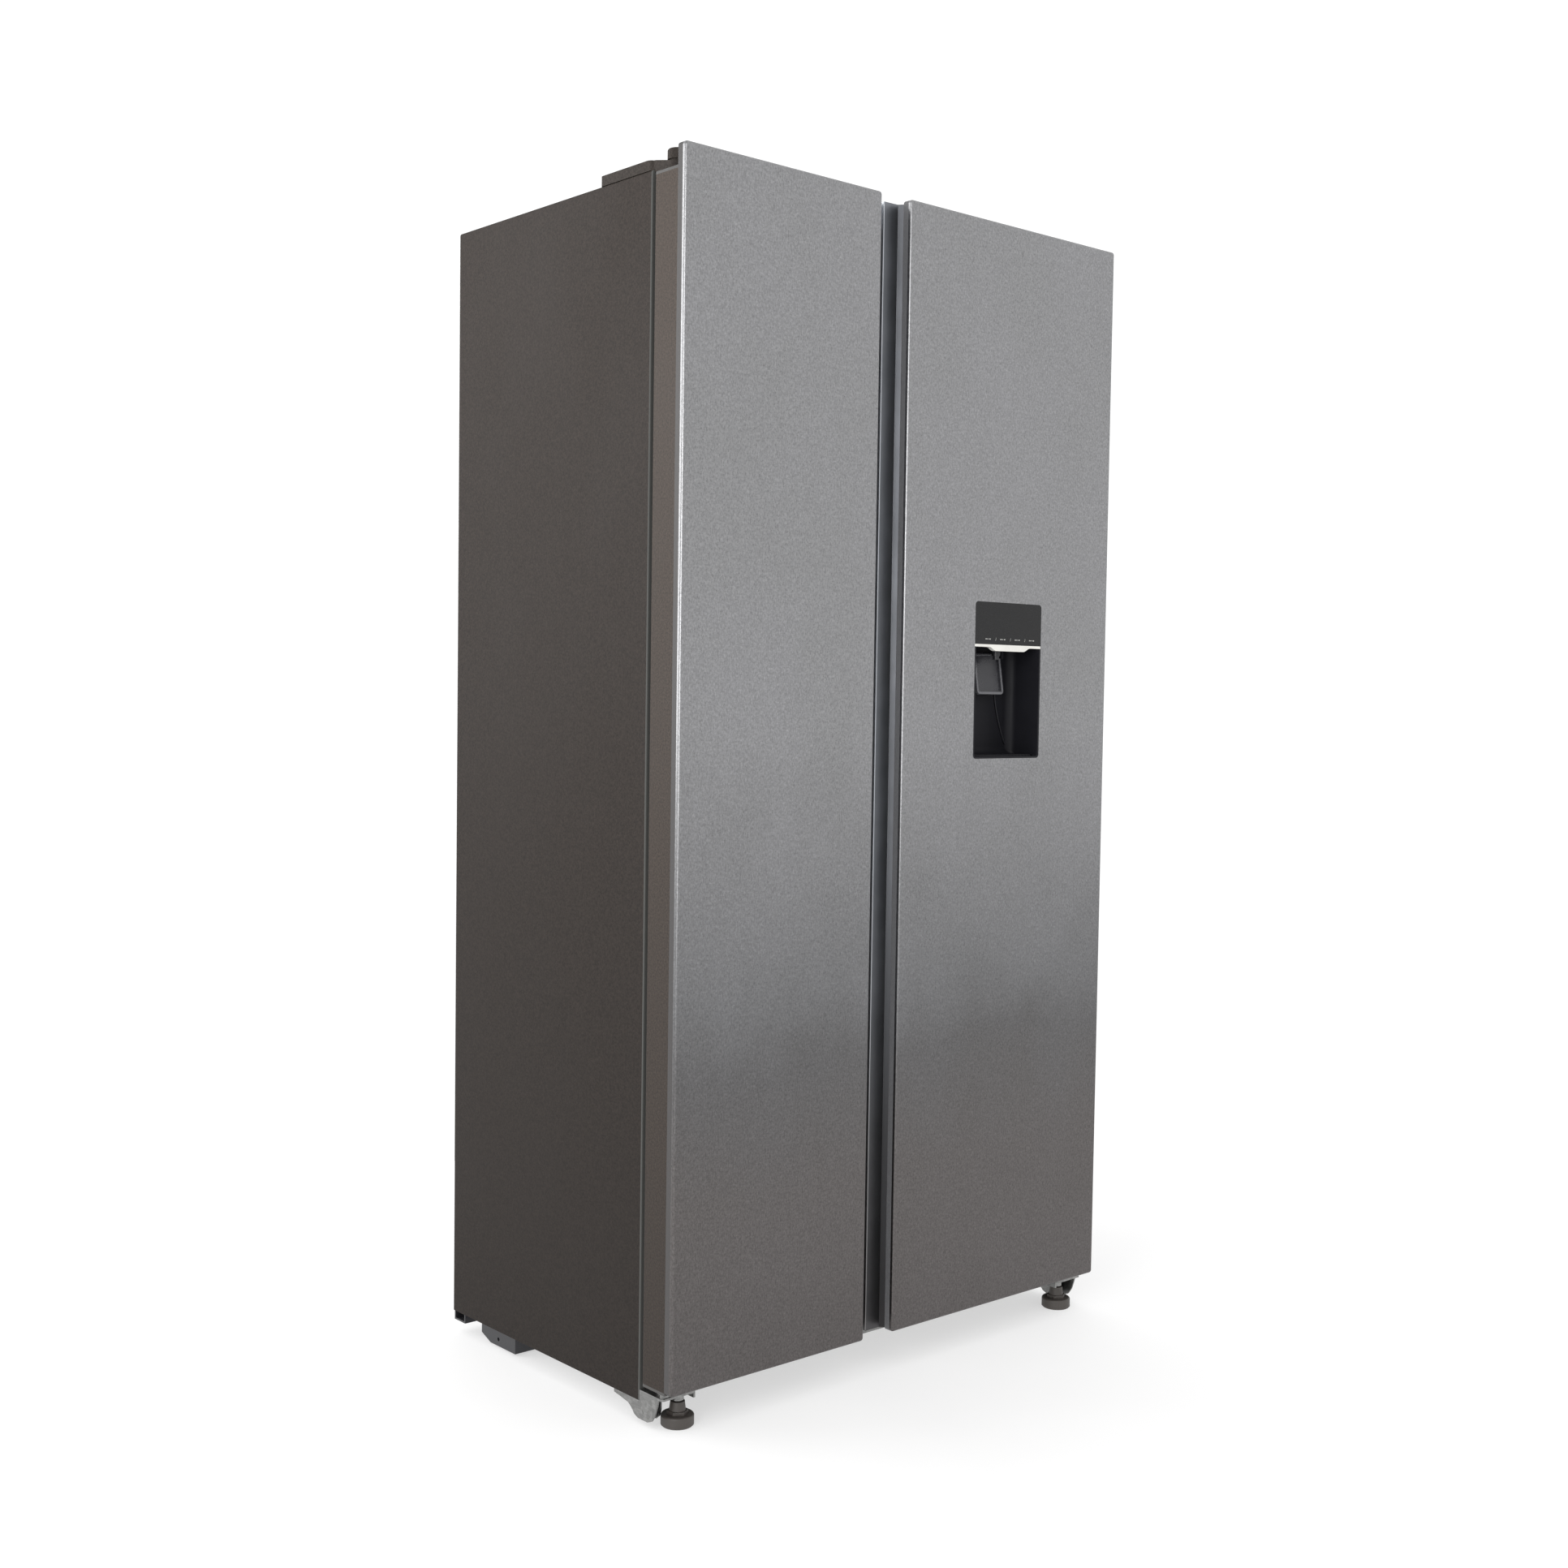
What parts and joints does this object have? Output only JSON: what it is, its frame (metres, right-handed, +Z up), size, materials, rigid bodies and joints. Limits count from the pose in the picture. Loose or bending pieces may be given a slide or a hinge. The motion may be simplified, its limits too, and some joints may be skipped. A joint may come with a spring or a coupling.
{
  "type": "side by side refrigerator",
  "caption": "Tall steel refrigerator with side by side doors, a finger channel between them, a water dispenser, shelves, drawers and door bins.",
  "frame": {"origin": "centre of the footprint, on the floor under the feet", "axes": "+X to the right seen from the front, +Y to the back, +Z up; the doors face -Y"},
  "size_m": [0.91, 0.58, 1.786],
  "materials": {
    "stainless": "fine vertical brushed grain",
    "frame_grey": "matt",
    "cabinet_paint": "fine textured paint",
    "grip_plastic": "satin",
    "cap_plastic": "matt",
    "foam": "rigid foam",
    "liner_white": "soft gloss",
    "gasket_rubber": "matt",
    "clear_plastic": "clear moulding",
    "paddle_plastic": "clear moulding",
    "shelf_glass": "clear",
    "black_plastic": "satin",
    "foot_plastic": "matt",
    "control_gloss": "gloss",
    "trim_white": "satin",
    "zinc_steel": "galvanised",
    "compressor_black": "gloss paint",
    "aluminium": "mill finish",
    "condenser_paint": "black enamel",
    "lamp_white": "frosted",
    "cover_plastic": "satin"
  },
  "bodies": {
    "cabinet": {"outer_shell": "cabinet_paint", "back_panel": "zinc_steel", "base_plate": "zinc_steel", "cabinet_foam": "foam", "freezer_liner": "liner_white", "fridge_liner": "liner_white", "mullion_strip": "cabinet_paint", "machine_cover": "black_plastic", "duct_covers": "liner_white", "evaporator": "aluminium", "condenser": "condenser_paint", "compressor": "compressor_black", "drip_pan": "black_plastic", "fan_motors": "black_plastic", "interior_lamps": "lamp_white", "freezer_shelves": "shelf_glass", "fridge_shelves": "shelf_glass", "top_hinges": "zinc_steel", "hinge_covers": "cover_plastic", "bottom_brackets": "zinc_steel", "rear_blocks": "black_plastic", "hinge_screws": "zinc_steel", "roller_axles": "zinc_steel"},
    "left_door": {"left_door_panel": "stainless", "left_door_frame": "frame_grey", "left_door_casing": "cabinet_paint", "left_door_end_caps": "cap_plastic", "left_door_grip": "grip_plastic", "left_door_foam": "foam", "left_door_liner": "liner_white", "left_door_gasket": "gasket_rubber", "left_door_bins": "clear_plastic"},
    "right_door": {"right_door_panel": "stainless", "right_door_frame": "frame_grey", "right_door_casing": "cabinet_paint", "right_door_end_caps": "cap_plastic", "right_door_grip": "grip_plastic", "right_door_foam": "foam", "right_door_liner": "liner_white", "right_door_gasket": "gasket_rubber", "right_door_bins": "clear_plastic", "dispenser_housing": "black_plastic", "control_panel": "control_gloss", "dispenser_trim": "trim_white", "dispenser_nozzle": "black_plastic", "water_tank": "clear_plastic"},
    "paddle": {"dispenser_paddle": "paddle_plastic"},
    "tank_lid": {"tank_lid": "liner_white"},
    "freezer_fan": {"freezer_fan": "black_plastic"},
    "condenser_fan": {"condenser_fan": "black_plastic"},
    "freezer_lower_drawer": {"freezer_lower_drawer": "clear_plastic"},
    "freezer_upper_drawer": {"freezer_upper_drawer": "clear_plastic"},
    "fridge_lower_drawer": {"fridge_lower_drawer": "clear_plastic"},
    "fridge_upper_drawer": {"fridge_upper_drawer": "clear_plastic"},
    "left_foot": {"left_foot": "foot_plastic"},
    "left_front_roller": {"left_front_roller": "black_plastic"},
    "left_rear_roller": {"left_rear_roller": "black_plastic"},
    "right_foot": {"right_foot": "foot_plastic"},
    "right_front_roller": {"right_front_roller": "black_plastic"},
    "right_rear_roller": {"right_rear_roller": "black_plastic"}
  },
  "joints": [
    {"name": "left_door_hinge", "type": "hinge", "parent": "cabinet", "child": "left_door", "pos_m": [-0.435, -0.246, 1], "axis": [0, 0, -1], "range_deg": [0, 115]},
    {"name": "right_door_hinge", "type": "hinge", "parent": "cabinet", "child": "right_door", "pos_m": [0.435, -0.246, 1], "axis": [0, 0, 1], "range_deg": [0, 115]},
    {"name": "paddle_push", "type": "hinge", "parent": "right_door", "child": "paddle", "pos_m": [0.212, -0.238, 1.11], "axis": [1, 0, 0], "range_deg": [0, 11], "stiffness_Nm_per_rad": 0.05, "springref_deg": -17.19},
    {"name": "tank_lid_hinge", "type": "hinge", "parent": "right_door", "child": "tank_lid", "pos_m": [0.21, -0.204, 1.4735], "axis": [1, 0, 0], "range_deg": [0, 95]},
    {"name": "freezer_lower_drawer_slide", "type": "slide", "parent": "cabinet", "child": "freezer_lower_drawer", "axis": [0, -1, 0], "range_m": [0, 0.08]},
    {"name": "freezer_upper_drawer_slide", "type": "slide", "parent": "cabinet", "child": "freezer_upper_drawer", "axis": [0, -1, 0], "range_m": [0, 0.08]},
    {"name": "fridge_lower_drawer_slide", "type": "slide", "parent": "cabinet", "child": "fridge_lower_drawer", "axis": [0, -1, 0], "range_m": [0, 0.08]},
    {"name": "fridge_upper_drawer_slide", "type": "slide", "parent": "cabinet", "child": "fridge_upper_drawer", "axis": [0, -1, 0], "range_m": [0, 0.08]},
    {"name": "left_foot_height", "type": "slide", "parent": "cabinet", "child": "left_foot", "axis": [0, 0, -1], "range_m": [0, 0.014]},
    {"name": "left_front_roller_spin", "type": "hinge", "parent": "cabinet", "child": "left_front_roller", "pos_m": [-0.442, -0.219, 0.0185], "axis": [1, 0, 0], "continuous": true},
    {"name": "left_rear_roller_spin", "type": "hinge", "parent": "cabinet", "child": "left_rear_roller", "pos_m": [-0.42, 0.172, 0.015], "axis": [1, 0, 0], "continuous": true},
    {"name": "right_foot_height", "type": "slide", "parent": "cabinet", "child": "right_foot", "axis": [0, 0, -1], "range_m": [0, 0.014]},
    {"name": "right_front_roller_spin", "type": "hinge", "parent": "cabinet", "child": "right_front_roller", "pos_m": [0.442, -0.219, 0.0185], "axis": [1, 0, 0], "continuous": true},
    {"name": "right_rear_roller_spin", "type": "hinge", "parent": "cabinet", "child": "right_rear_roller", "pos_m": [0.42, 0.172, 0.015], "axis": [1, 0, 0], "continuous": true},
    {"name": "freezer_fan_spin", "type": "hinge", "parent": "cabinet", "child": "freezer_fan", "pos_m": [-0.2485, 0.186, 0.96], "axis": [0, 1, 0], "continuous": true},
    {"name": "condenser_fan_spin", "type": "hinge", "parent": "cabinet", "child": "condenser_fan", "pos_m": [-0.07, 0.205, 0.16], "axis": [1, 0, 0], "continuous": true}
  ]
}
